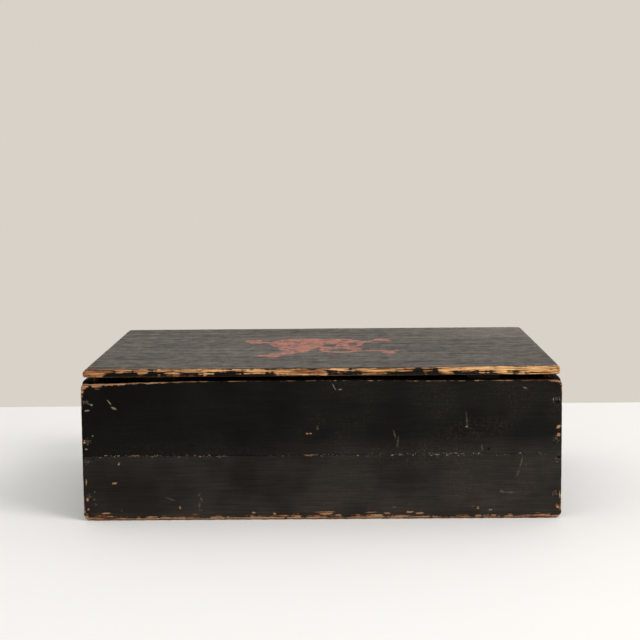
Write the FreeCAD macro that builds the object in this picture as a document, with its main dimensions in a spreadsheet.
import FreeCAD, Part
import os
import re
import Sketcher

# A low pine box for papers with a flat hinged lid, nailed together from thin boards.
# The front and back boards cover the ends of the end boards. The bottom is nailed on from below,
# and the lid hangs on two butt hinges that stand on the back rim without a recess, so their leaves
# keep the lid level and a little above the rim all round.
# Origin: middle of the base. X runs to the right, Y to the back, Z up. Millimetres.

SIZES = {
    # The case
    "box_width": 440.0,
    "box_depth": 302.0,
    "wall_thickness": 10.5,
    "bottom_thickness": 7.0,
    "lower_board_height": 53.0,
    "upper_board_height": 70.5,
    "bottom_front_depth": 170.0,
    # Worn and rounded edges of the case
    "edge_wear": 2.0,
    "back_edge_wear": 1.0,
    "end_rim_wear": 4.5,
    # The lid and its battens
    "lid_end_setback": 1.5,
    "lid_thickness": 7.5,
    "lid_front_depth": 196.0,
    "lid_front_corner": 6.0,
    "lid_back_corner": 12.0,
    "lid_edge_wear": 2.2,
    "lid_under_wear": 1.0,
    "batten_width": 28.0,
    "batten_thickness": 10.0,
    "batten_inset": 45.0,
    "batten_clearance": 4.0,
    "batten_bevel": 2.0,
    # The hinges
    "hinge_length": 50.0,
    "hinge_inset": 62.0,
    "leaf_thickness": 1.4,
    "leaf_gap": 0.3,
    "leaf_setback": 1.5,
    "barrel_radius": 2.6,
    "barrel_clearance": 0.3,
    "knuckle_clearance": 0.3,
    "pin_radius": 1.2,
    "pin_clearance": 0.05,
    "pin_overhang": 0.6,
    # The hinge screws
    "screw_head_radius": 2.3,
    "screw_head_land": 0.1,
    "screw_shank_radius": 1.2,
    "screw_sink": 0.1,
    "screw_slot_width": 0.7,
    "screw_slot_depth": 0.5,
    "screw_fit": 0.05,
    # The cut nails
    "nail_head_radius": 2.5,
    "nail_head_thickness": 0.8,
    "nail_sink": 0.3,
    "nail_width": 2.4,
    "nail_tip_width": 1.2,
    "nail_fit": 0.05,
    "corner_nail_length": 30.0,
    "bottom_nail_length": 24.0,
    # How far a cutting shape runs past the face that it opens
    "overrun": 1.0,
}

KNUCKLES = 5
LOWER_LEAF_KNUCKLES = range(0, KNUCKLES, 2)
UPPER_LEAF_KNUCKLES = range(1, KNUCKLES, 2)
NAIL_HEAD_SIDES = 8
SCREW_SIDES = 12

# Shares of the size that each one follows
BASE_END_WEAR_SHARE = 0.6
UPPER_NAIL_SHARES = (0.20, 0.72)
LOWER_NAIL_SHARES = (0.29, 0.91)
BOTTOM_ROW_SHARES = (-0.40, -0.14, 0.14, 0.40)
BOTTOM_END_SHARES = (-0.27, 0.27)
BATTEN_NAIL_SHARES = (-0.36, -0.06, 0.28, 0.38)
BATTEN_NAIL_BITE_SHARE = 0.55
SCREW_SHARES = (-0.35, 0.0, 0.35)
SCREW_BITE_SHARE = 0.68
NEARNESS_SHARE = 1e-5

# Heights and places that several pieces share, in words of the sizes above
RIM = "(bottom_thickness + lower_board_height + upper_board_height)"
JOINT = "(bottom_thickness + lower_board_height)"
LID_UNDERSIDE = f"({RIM} + 2 * leaf_thickness + leaf_gap)"
LID_WIDTH = "(box_width - 2 * lid_end_setback)"
AXIS_STANDOFF = "(barrel_radius + barrel_clearance)"
AXIS_Y = f"(box_depth / 2 + {AXIS_STANDOFF})"
AXIS_Z = f"({RIM} + leaf_thickness + leaf_gap / 2)"
LEAF_SEAT = "(wall_thickness - leaf_setback)"
SCREW_LENGTH = f"(leaf_thickness + lid_thickness * {SCREW_BITE_SHARE})"
SCREW_CONE = f"((screw_head_radius - screw_shank_radius) * cos(180deg / {SCREW_SIDES}))"
BATTEN_NAIL_LENGTH = f"(batten_thickness + lid_thickness * {BATTEN_NAIL_BITE_SHARE})"

AHEAD = FreeCAD.Rotation()
TO_THE_FRONT = FreeCAD.Rotation(FreeCAD.Vector(0, 0, 1), 180)
NAIL_UP = FreeCAD.Rotation(FreeCAD.Vector(1, 0, 0), 90)
SCREW_UP = FreeCAD.Rotation(FreeCAD.Vector(1, 0, 0), 180)
UPRIGHT_TO_AHEAD = FreeCAD.Rotation(FreeCAD.Vector(1, 0, 0), -90)

doc = FreeCAD.newDocument("painted_pine_box")
sheet = doc.addObject("Spreadsheet::Sheet", "Sizes")
for row, (alias, size) in enumerate(SIZES.items(), start=1):
    sheet.set(f"A{row}", alias.replace("_", " "))
    sheet.set(f"B{row}", str(size))
    sheet.setAlias(f"B{row}", alias)
doc.recompute()

parts = {}


def expression(words):
    """Point each size named in the words at its cell of the sheet."""
    def cell(match):
        return f"Sizes.{match.group()}" if match.group() in SIZES else match.group()
    return re.sub(r"[a-z][a-z_]*", cell, words)


def bind(thing, **sizes):
    """Tie an object's properties to the sheet."""
    for name, words in sizes.items():
        thing.setExpression(name, expression(words))


def place(thing, x, y, z, turn=AHEAD):
    """Turn an object and tie its place to the sheet."""
    thing.Placement = FreeCAD.Placement(FreeCAD.Vector(), turn)
    for axis, words in zip("xyz", (x, y, z)):
        thing.setExpression(f"Placement.Base.{axis}", expression(words))


def add_sketch(body, role):
    """An empty sketch on one of the body's own planes."""
    sketch = body.newObject("Sketcher::SketchObject", f"{body.Name}_sketch")
    plane = next(item for item in body.Origin.OriginFeatures if item.Role == role)
    sketch.AttachmentSupport = [(plane, "")]
    sketch.MapMode = "FlatFace"
    return sketch


def add_polygon(sketch, corners):
    """A closed outline whose corners are tied to the sheet, each from the sketch's origin."""
    first = sketch.GeometryCount
    count = len(corners)
    start = [FreeCAD.Vector(x, y, 0) for x, y in ((0, 0), (1, 0), (1, 1), (0, 1))]
    start += [FreeCAD.Vector(-step, 1, 0) for step in range(1, count - len(start) + 1)]
    for number in range(count):
        sketch.addGeometry(Part.LineSegment(start[number], start[(number + 1) % count]))
    for number, corner in enumerate(corners):
        line = first + number
        following = first + (number + 1) % count
        sketch.addConstraint(Sketcher.Constraint("Coincident", line, 2, following, 1))
        for kind, words in zip(("DistanceX", "DistanceY"), corner):
            constraint = sketch.addConstraint(Sketcher.Constraint(kind, -1, 1, line, 1, 0))
            sketch.setExpression(f"Constraints[{constraint}]", expression(words))


def add_rectangle(sketch, left, low, right, high):
    add_polygon(sketch, ((left, low), (right, low), (right, high), (left, high)))


def even_corners(sides, radius):
    """Corners of an even polygon about the sketch's origin, none of them on an axis."""
    turns = [f"({2 * number + 1} * 180deg / {sides})" for number in range(sides)]
    return [(f"({radius}) * cos{turn}", f"({radius}) * sin{turn}") for turn in turns]


def add_circle(sketch, radius):
    """A circle about the sketch's origin."""
    ring = sketch.addGeometry(Part.Circle())
    sketch.addConstraint(Sketcher.Constraint("Coincident", ring, 3, -1, 1))
    constraint = sketch.addConstraint(Sketcher.Constraint("Radius", ring, 1))
    sketch.setExpression(f"Constraints[{constraint}]", expression(radius))


def pad(body, sketch, length, both_ways=False):
    feature = body.newObject("PartDesign::Pad", f"{body.Name}_pad")
    feature.Profile = sketch
    feature.SideType = "Symmetric" if both_ways else "One side"
    bind(feature, Length=length)
    return feature


def pocket_through(body, sketch):
    """Cut a sketch's outline right through, to both sides of its plane."""
    doc.recompute()
    before = body.Shape.Volume
    feature = body.newObject("PartDesign::Pocket", f"{body.Name}_pocket")
    feature.Profile = sketch
    feature.SideType = "Symmetric"
    feature.Type = "ThroughAll"
    doc.recompute()
    if not body.Shape.Volume < before:
        raise RuntimeError(f"{feature.Name} cuts nothing")


def lies_on(reach, axis, level, near):
    return all(abs(getattr(reach, axis + limit) - level) < near for limit in ("Min", "Max"))


def edges_on(shape, *sides):
    """Names of the edges that lie on all the given sides of the shape's box."""
    box = shape.optimalBoundingBox(False, False)
    near = box.DiagonalLength * NEARNESS_SHARE
    levels = {
        "left": ("X", box.XMin), "right": ("X", box.XMax),
        "front": ("Y", box.YMin), "back": ("Y", box.YMax),
        "under": ("Z", box.ZMin), "top": ("Z", box.ZMax),
    }
    names = []
    for number, edge in enumerate(shape.Edges, start=1):
        reach = edge.optimalBoundingBox(False, False)
        if all(lies_on(reach, *levels[side], near) for side in sides):
            names.append(f"Edge{number}")
    return names


def soften(body, kind, size, *corners):
    """Round or bevel the edges where the named pairs of sides meet."""
    doc.recompute()
    base = body.Tip
    names = [name for corner in corners for name in edges_on(base.Shape, *corner)]
    feature = body.newObject(f"PartDesign::{kind}", f"{body.Name}_{kind.lower()}")
    feature.Base = (base, names)
    bind(feature, **{"Radius" if kind == "Fillet" else "Size": size})


def new_body(name, x="0", y="0", z="0"):
    body = doc.addObject("PartDesign::Body", name)
    place(body, x, y, z)
    return body


def keep(thing, label, solids=1):
    """Record a finished piece under its own name."""
    thing.Label = label
    parts[label] = (thing, solids)
    return thing


def copies(name, master, places, turn=AHEAD):
    """Links to one master shape, one at each place."""
    links = []
    for number, (x, y, z) in enumerate(places, start=1):
        link = doc.addObject("App::Link", f"{name}_{number}")
        link.LinkedObject = master
        place(link, x, y, z, turn)
        links.append(link)
    return links


def compound(name, members):
    group = doc.addObject("Part::Compound", name)
    group.Links = members
    return group


def drilled(label, blank, holes):
    """A finished piece: its blank with the fastener holes cut."""
    piece = doc.addObject("Part::Cut", f"{label}_drilled")
    piece.Base = blank
    piece.Tool = holes
    return keep(piece, label)


def board_blank(name, x, y, z, wide, deep, high):
    """A plain board, standing on its lower left front corner at x, y, z."""
    body = new_body(f"{name}_blank", x, y, z)
    sketch = add_sketch(body, "XY_Plane")
    add_rectangle(sketch, "0", "0", wide, deep)
    pad(body, sketch, high)
    return body


def fuse(name, members):
    whole = doc.addObject("Part::MultiFuse", name)
    whole.Shapes = members
    return whole


def prism(name, sides, radius, low, high):
    """An upright prism between two heights."""
    block = doc.addObject("Part::Prism", name)
    block.Polygon = sides
    bind(block, Circumradius=radius, Height=f"({high}) - ({low})")
    place(block, "0", "0", low)
    return block


def nail_shape(name, length, is_hole):
    """A cut nail that points to the back: a hammered, eight-sided head on a square, tapering shank.

    Its place is the board's face above the head. The hole is the same shape, a little larger and
    open to the face."""
    grow = " + nail_fit" if is_hole else ""
    head_start = "-overrun" if is_hole else "nail_sink"
    head = prism(f"{name}_head", NAIL_HEAD_SIDES, f"nail_head_radius{grow}",
                 head_start, f"nail_sink + nail_head_thickness{grow}")
    place(head, "0", head_start, "0", UPRIGHT_TO_AHEAD)
    shank = doc.addObject("Part::Wedge", f"{name}_shank")
    half = f"nail_width / 2{grow}"
    half_tip = f"nail_tip_width / 2{grow}"
    bind(shank, Xmin=f"-({half})", Zmin=f"-({half})", Xmax=half, Zmax=half,
         X2min=f"-({half_tip})", Z2min=f"-({half_tip})", X2max=half_tip, Z2max=half_tip,
         Ymin="nail_sink + nail_head_thickness / 2", Ymax=f"{length}{grow}")
    return fuse(name, [head, shank])


def screw_shape(name, is_hole):
    """A countersunk wood screw that points down. Its place is the flat of its head.

    The hole is the same shape, a little larger and open to the face."""
    grow = " + screw_fit" if is_hole else ""
    head_depth = f"(screw_head_land + {SCREW_CONE})"
    body = new_body(name)
    head = add_sketch(body, "XY_Plane")
    add_polygon(head, even_corners(SCREW_SIDES, f"screw_head_radius{grow}"))
    head.setExpression("AttachmentOffset.Base.z", expression(f"-{head_depth}"))
    pad(body, head, f"{head_depth} + overrun" if is_hole else head_depth)
    soften(body, "Chamfer", SCREW_CONE, ("under",))
    shank = add_sketch(body, "XY_Plane")
    add_polygon(shank, even_corners(SCREW_SIDES, f"screw_shank_radius{grow}"))
    shank.setExpression("AttachmentOffset.Base.z", expression(f"-({SCREW_LENGTH}{grow})"))
    pad(body, shank, f"{SCREW_LENGTH}{grow} - screw_head_land")
    if not is_hole:
        slot = add_sketch(body, "XY_Plane")
        add_rectangle(slot, "-screw_head_radius", "-screw_slot_width / 2",
                      "screw_head_radius", "screw_slot_width / 2")
        cut = body.newObject("PartDesign::Pocket", f"{name}_slot")
        cut.Profile = slot
        bind(cut, Length="screw_slot_depth")
    return body


# Places of the corner nails, two in each board at each corner
LEVELS = {
    "upper": [f"{JOINT} + upper_board_height * {share}" for share in UPPER_NAIL_SHARES],
    "lower": [f"bottom_thickness + lower_board_height * {share}" for share in LOWER_NAIL_SHARES],
}
END_SIGNS = {"left": "-", "right": "+"}
WALL_MIDDLE = "(box_width / 2 - wall_thickness / 2)"
SIDES = {"front": ("-box_depth / 2", AHEAD), "back": ("box_depth / 2", TO_THE_FRONT)}

corner_nail = nail_shape("corner_nail", "corner_nail_length", is_hole=False)
corner_nail_hole = nail_shape("corner_nail_hole", "corner_nail_length", is_hole=True)
corner_holes = {}
for side, (face, turn) in SIDES.items():
    for end, sign in END_SIGNS.items():
        corner_places = {level: [(f"{sign}{WALL_MIDDLE}", face, height) for height in heights]
                         for level, heights in LEVELS.items()}
        every_place = corner_places["upper"] + corner_places["lower"]
        label = f"{side}_{end}_corner_nails"
        nails = compound(label, copies(f"{label}_nail", corner_nail, every_place, turn))
        keep(nails, label, len(every_place))
        for level, level_places in corner_places.items():
            name = f"{side}_{end}_{level}_holes"
            corner_holes[side, end, level] = copies(name, corner_nail_hole, level_places, turn)

# Nails of the bottom: a row into the front wall, a row into the back wall and a few into each end
bottom_nail = nail_shape("bottom_nail", "bottom_nail_length", is_hole=False)
bottom_nail_hole = nail_shape("bottom_nail_hole", "bottom_nail_length", is_hole=True)
bottom_places = {
    "front": [(f"box_width * {share}", "wall_thickness / 2 - box_depth / 2", "0")
              for share in BOTTOM_ROW_SHARES],
    "back": [(f"box_width * {share}", "box_depth / 2 - wall_thickness / 2", "0")
             for share in BOTTOM_ROW_SHARES],
}
for end, sign in END_SIGNS.items():
    bottom_places[end] = [(f"{sign}{WALL_MIDDLE}", f"box_depth * {share}", "0")
                          for share in BOTTOM_END_SHARES]
every_place = [spot for spots in bottom_places.values() for spot in spots]
bottom_nails = compound("bottom_nails", copies("bottom_nail_copy", bottom_nail, every_place, NAIL_UP))
keep(bottom_nails, "bottom_nails", len(every_place))
bottom_holes = {wall: copies(f"bottom_{wall}_holes", bottom_nail_hole, spots, NAIL_UP)
                for wall, spots in bottom_places.items()}

# Screws of the hinges
HINGE_MIDDLES = {end: f"{sign}(box_width / 2 - hinge_inset - hinge_length / 2)"
                 for end, sign in END_SIGNS.items()}
LEAF_FACES = {
    "lower": (f"{RIM} + leaf_thickness - screw_sink", AHEAD),
    "upper": (f"{LID_UNDERSIDE} - leaf_thickness + screw_sink", SCREW_UP),
}
screw = screw_shape("hinge_screw", is_hole=False)
screw_hole = screw_shape("hinge_screw_hole", is_hole=True)
screw_holes = {}
for level, (height, turn) in LEAF_FACES.items():
    spots = {end: [(f"{middle} + hinge_length * {share}", f"box_depth / 2 - {LEAF_SEAT} / 2", height)
                   for share in SCREW_SHARES]
             for end, middle in HINGE_MIDDLES.items()}
    label = f"{level}_leaf_screws"
    screws = compound(label, copies(f"{label}_screw", screw, spots["left"] + spots["right"], turn))
    keep(screws, label, len(END_SIGNS) * len(SCREW_SHARES))
    for end in END_SIGNS:
        screw_holes[level, end] = copies(f"{level}_{end}_screw_holes", screw_hole, spots[end], turn)

# Front and back walls: the upper board's outer edges are rounded over, most at the two top corners
LEVEL_STARTS = {"lower": ("bottom_thickness", "lower_board_height"), "upper": (JOINT, "upper_board_height")}
EDGE_WEAR = {"front": ("Fillet", "edge_wear"), "back": ("Chamfer", "back_edge_wear")}
for side, wear in EDGE_WEAR.items():
    start_y = "-box_depth / 2" if side == "front" else "box_depth / 2 - wall_thickness"
    for level, (start_z, height) in LEVEL_STARTS.items():
        label = f"{side}_{level}_board"
        blank = board_blank(label, "-box_width / 2", start_y, start_z,
                            "box_width", "wall_thickness", height)
        holes = corner_holes[side, "left", level] + corner_holes[side, "right", level]
        if level == "upper":
            soften(blank, "Fillet", "end_rim_wear", ("left", "top"), ("right", "top"))
            soften(blank, *wear, (side, "top"))
        else:
            soften(blank, *wear, (side, "left"), (side, "right"))
            holes = holes + bottom_holes[side]
        if side == "back" and level == "upper":
            holes = holes + screw_holes["lower", "left"] + screw_holes["lower", "right"]
        drilled(label, blank, compound(f"{label}_holes", holes))

# End walls, between the front and the back
for end in END_SIGNS:
    start_x = "-box_width / 2" if end == "left" else "box_width / 2 - wall_thickness"
    for level, (start_z, height) in LEVEL_STARTS.items():
        label = f"{end}_end_{level}_board"
        blank = board_blank(label, start_x, "wall_thickness - box_depth / 2", start_z,
                            "wall_thickness", "box_depth - 2 * wall_thickness", height)
        holes = corner_holes["front", end, level] + corner_holes["back", end, level]
        if level == "upper":
            soften(blank, "Fillet", "end_rim_wear", (end, "top"))
        else:
            holes = holes + bottom_holes[end]
        drilled(label, blank, compound(f"{label}_holes", holes))

# The bottom's two boards: the end edges underneath are worn round, the long ones less
all_bottom_holes = [hole for holes in bottom_holes.values() for hole in holes]
BOTTOM_STRIPS = {
    "front": ("-box_depth / 2", "bottom_front_depth"),
    "back": ("bottom_front_depth - box_depth / 2", "box_depth - bottom_front_depth"),
}
for side, (start_y, deep) in BOTTOM_STRIPS.items():
    label = f"bottom_{side}_board"
    blank = board_blank(label, "-box_width / 2", start_y, "0", "box_width", deep, "bottom_thickness")
    soften(blank, "Fillet", f"bottom_thickness * {BASE_END_WEAR_SHARE}",
           ("left", "under"), ("right", "under"))
    soften(blank, *EDGE_WEAR[side], (side, "under"))
    drilled(label, blank, compound(f"{label}_holes", all_bottom_holes))

# Battens across the lid's underside, clear of the walls when the lid is down
batten_nail = nail_shape("batten_nail", BATTEN_NAIL_LENGTH, is_hole=False)
batten_nail_hole = nail_shape("batten_nail_hole", BATTEN_NAIL_LENGTH, is_hole=True)
BATTEN_UNDERSIDE = f"({LID_UNDERSIDE} - batten_thickness)"
BATTEN_OUTSIDE = "(box_width / 2 - wall_thickness - batten_inset)"
BATTEN_LENGTH = "(box_depth - 2 * wall_thickness - 2 * batten_clearance)"
BATTEN_MIDDLE = f"({BATTEN_OUTSIDE} - batten_width / 2)"
batten_spots = {end: [(f"{sign}{BATTEN_MIDDLE}", f"{BATTEN_LENGTH} * {share}", BATTEN_UNDERSIDE)
                      for share in BATTEN_NAIL_SHARES]
                for end, sign in END_SIGNS.items()}
every_place = batten_spots["left"] + batten_spots["right"]
batten_nails = compound("batten_nails", copies("batten_nail_copy", batten_nail, every_place, NAIL_UP))
keep(batten_nails, "batten_nails", len(every_place))
batten_holes = {end: copies(f"{end}_batten_holes", batten_nail_hole, spots, NAIL_UP)
                for end, spots in batten_spots.items()}
for end in END_SIGNS:
    label = f"{end}_lid_batten"
    start_x = f"-{BATTEN_OUTSIDE}" if end == "left" else f"{BATTEN_OUTSIDE} - batten_width"
    blank = board_blank(label, start_x, f"-{BATTEN_LENGTH} / 2", BATTEN_UNDERSIDE,
                        "batten_width", BATTEN_LENGTH, "batten_thickness")
    soften(blank, "Chamfer", "batten_bevel", ("left", "under"), ("right", "under"),
           ("front", "under"), ("back", "under"))
    drilled(label, blank, compound(f"{label}_holes", batten_holes[end]))

# The lid's two boards: corners rounded in plan, top edge worn round, a light wear underneath
LID_STRIPS = {
    "front": ("-box_depth / 2", "lid_front_depth", "lid_front_corner"),
    "back": ("lid_front_depth - box_depth / 2", "box_depth - lid_front_depth", "lid_back_corner"),
}
for side, (start_y, deep, corner) in LID_STRIPS.items():
    label = f"lid_{side}_board"
    blank = board_blank(label, f"-{LID_WIDTH} / 2", start_y, LID_UNDERSIDE,
                        LID_WIDTH, deep, "lid_thickness")
    soften(blank, "Fillet", corner, (side, "left"), (side, "right"))
    soften(blank, "Fillet", "lid_edge_wear", (side, "top"))
    soften(blank, "Chamfer", "lid_under_wear", (side, "under"))
    holes = batten_holes["left"] + batten_holes["right"]
    if side == "back":
        holes = holes + screw_holes["upper", "left"] + screw_holes["upper", "right"]
    drilled(label, blank, compound(f"{label}_holes", holes))

# The hinges: each leaf is a plate rolled into knuckles round the pin, which stays in the lower leaf
LEAVES = {
    "lower": ("-(leaf_gap / 2 + leaf_thickness)", UPPER_LEAF_KNUCKLES),
    "upper": ("leaf_gap / 2", LOWER_LEAF_KNUCKLES),
}
for end, middle in HINGE_MIDDLES.items():
    for level, (plate_start, gaps) in LEAVES.items():
        label = f"{end}_hinge_{level}_leaf"
        blank = new_body(f"{label}_blank", middle, AXIS_Y, AXIS_Z)
        plate = add_sketch(blank, "XY_Plane")
        add_rectangle(plate, "-hinge_length / 2", f"-({AXIS_STANDOFF} + {LEAF_SEAT})",
                      "hinge_length / 2", "0")
        plate.setExpression("AttachmentOffset.Base.z", expression(plate_start))
        pad(blank, plate, "leaf_thickness")
        barrel = add_sketch(blank, "YZ_Plane")
        add_circle(barrel, "barrel_radius")
        pad(blank, barrel, "hinge_length", both_ways=True)
        bore = add_sketch(blank, "YZ_Plane")
        add_circle(bore, "pin_radius + pin_clearance")
        pocket_through(blank, bore)
        notches = add_sketch(blank, "XY_Plane")
        for knuckle in gaps:
            add_rectangle(
                notches, f"hinge_length * ({knuckle} / {KNUCKLES} - 1 / 2) - knuckle_clearance / 2",
                f"-{AXIS_STANDOFF}",
                f"hinge_length * ({knuckle + 1} / {KNUCKLES} - 1 / 2) + knuckle_clearance / 2",
                "barrel_radius + overrun")
        pocket_through(blank, notches)
        drilled(label, blank, compound(f"{label}_holes", screw_holes[level, end]))
    label = f"{end}_hinge_pin"
    pin = new_body(f"{label}_body", middle, AXIS_Y, AXIS_Z)
    wire = add_sketch(pin, "YZ_Plane")
    add_circle(wire, "pin_radius")
    pad(pin, wire, "hinge_length + 2 * pin_overhang", both_ways=True)
    keep(pin, label)

doc.recompute()
for thing in doc.Objects:
    if "Invalid" in thing.State or "Error" in thing.State:
        raise RuntimeError(f"{thing.Label} failed: {thing.State}")
for label, (piece, solids) in parts.items():
    shape = piece.Shape
    if shape.isNull() or not shape.isValid():
        raise RuntimeError(f"{label} has no valid shape")
    if len(shape.Solids) != solids:
        raise RuntimeError(f"{label} has {len(shape.Solids)} solids, not {solids}")

os.makedirs("parts", exist_ok=True)
for label, (piece, solids) in parts.items():
    piece.Shape.exportStep(f"parts/{label}.step")
print(len(parts), "parts written")
